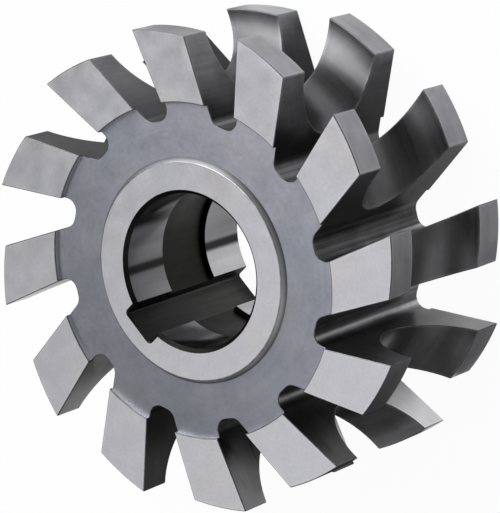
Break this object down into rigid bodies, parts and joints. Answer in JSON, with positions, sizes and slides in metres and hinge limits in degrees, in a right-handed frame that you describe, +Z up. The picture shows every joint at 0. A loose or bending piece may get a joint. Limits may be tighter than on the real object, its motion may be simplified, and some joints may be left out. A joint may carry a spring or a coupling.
{
  "type": "concave milling cutter",
  "caption": "Form-relieved milling cutter with a half-round hollow rim, raked teeth, raised hub and keyed bore, for rounding an edge on a horizontal mill.",
  "frame": {"origin": "centre of the lower end face, on the bore's axis", "axes": "+Z up along the bore; +X from the bore's axis through the middle of the keyway; seen from +Z the teeth point anticlockwise"},
  "size_m": [0.1, 0.1, 0.04],
  "materials": {
    "tool_steel": "ground"
  },
  "bodies": {
    "root": {"milling_cutter": "tool_steel"}
  },
  "joints": []
}
